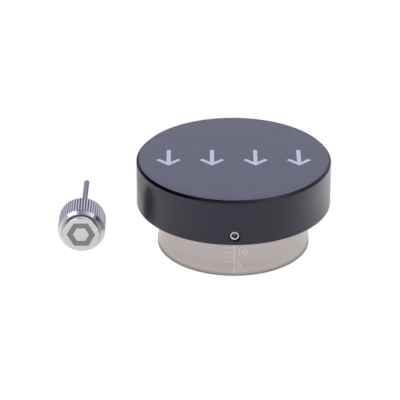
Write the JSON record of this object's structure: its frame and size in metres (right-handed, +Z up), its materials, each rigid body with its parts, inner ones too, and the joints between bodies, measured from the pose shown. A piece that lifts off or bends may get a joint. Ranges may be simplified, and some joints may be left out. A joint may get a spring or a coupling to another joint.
{
  "type": "adjustable palm coffee tamper",
  "caption": "Palm-pressed coffee tamper: a round cap screwed onto a flat steel base, with a socket set screw that locks the depth, and its hex key.",
  "frame": {"origin": "centre of the flat tamping face, on the surface that the tamper stands on", "axes": "+Z up out of the palm cap, -Y towards the lock screw, +X to the right seen from the lock screw, with the key on the -X side"},
  "size_m": [0.1048, 0.0746, 0.0358],
  "materials": {
    "turned_steel": "fine turned stainless steel, satin",
    "black_anodised": "black anodised, fine bead-blasted satin",
    "bright_steel": "bright machined stainless steel",
    "key_steel": "drawn hardened steel, slightly dark",
    "seal_rubber": "black moulded rubber",
    "pad_brass": "turned brass"
  },
  "bodies": {
    "base": {"tamping_base": "turned_steel"},
    "seal": {"seal_ring": "seal_rubber"},
    "cap": {"palm_cap": "black_anodised"},
    "pad": {"lock_pad": "pad_brass"},
    "screw": {"lock_screw": "bright_steel"},
    "key": {"key_knob": "bright_steel", "key_blade": "key_steel"}
  },
  "joints": [
    {"name": "cap_turn", "type": "hinge", "parent": "base", "child": "seal", "pos_m": [0, 0, 0], "axis": [0, 0, 1], "range_deg": [-720.5, 360.5]},
    {"name": "cap_rise", "type": "slide", "parent": "seal", "child": "cap", "axis": [0, 0, 1], "range_m": [-0.004, 0.002]},
    {"name": "lock_feed", "type": "slide", "parent": "cap", "child": "pad", "axis": [0, -1, 0], "range_m": [0, 0.0014]},
    {"name": "lock_turn", "type": "hinge", "parent": "pad", "child": "screw", "pos_m": [0, -0.03655, 0.0211], "axis": [0, -1, 0], "range_deg": [-0.5, 720.5]},
    {"name": "key_lift", "type": "slide", "parent": "base", "child": "key", "axis": [0, 0, 1], "range_m": [0, 0.06]}
  ],
  "couplings": [
    {"joint": "cap_turn", "follows": "cap_rise", "rad_per_m": 3141.6},
    {"joint": "lock_turn", "follows": "lock_feed", "rad_per_m": 8976}
  ]
}
